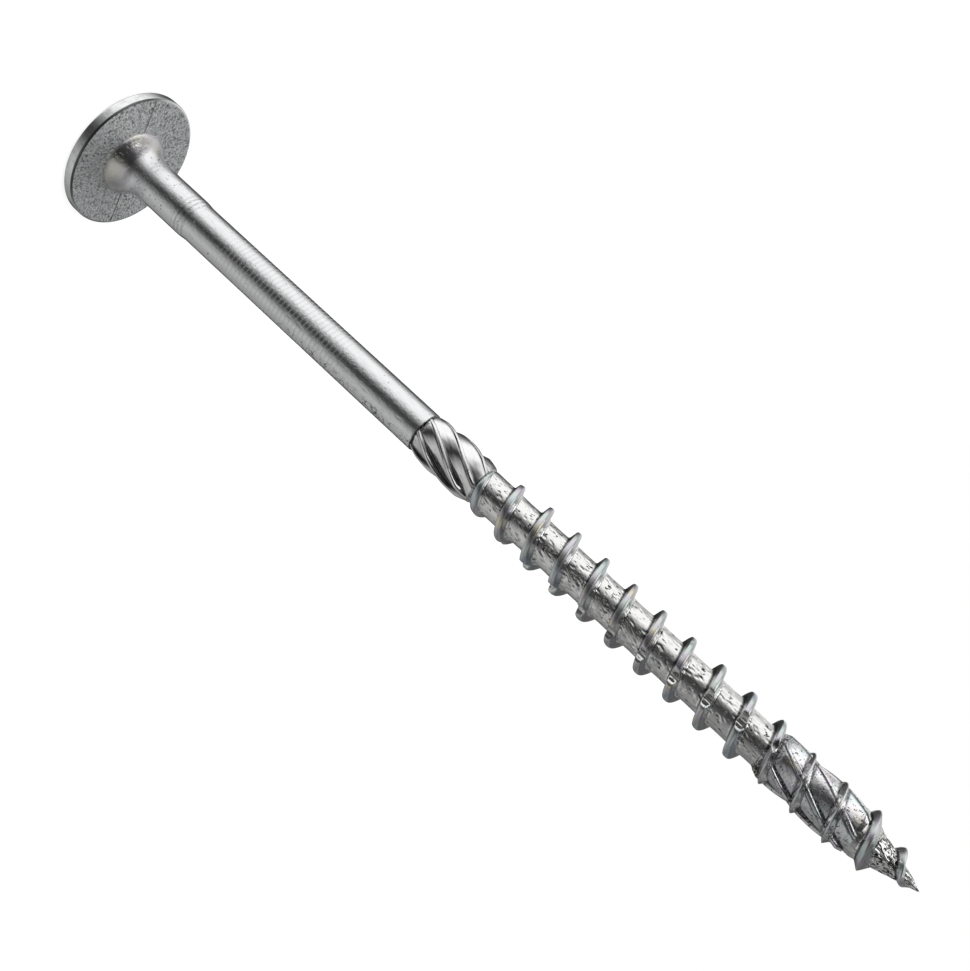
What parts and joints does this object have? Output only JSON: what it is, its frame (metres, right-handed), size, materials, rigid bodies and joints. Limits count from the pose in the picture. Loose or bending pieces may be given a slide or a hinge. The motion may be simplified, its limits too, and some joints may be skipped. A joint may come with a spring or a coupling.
{
  "type": "washer head wood screw",
  "caption": "Long zinc-plated wood screw with a flat washer head, lobed drive recess, plain shank, shank reamer, coarse right-hand thread and a ribbed self-drilling point.",
  "frame": {"origin": "centre of the top face of the washer head, which is the face the screw stands on", "axes": "+Z along the screw from the head to the point"},
  "size_m": [0.0208, 0.0208, 0.1417],
  "materials": {
    "zinc_steel": "bright zinc plating over cold-formed steel, satin on the head and mirror-like on the shank"
  },
  "bodies": {
    "root": {"screw": "zinc_steel"}
  },
  "joints": []
}
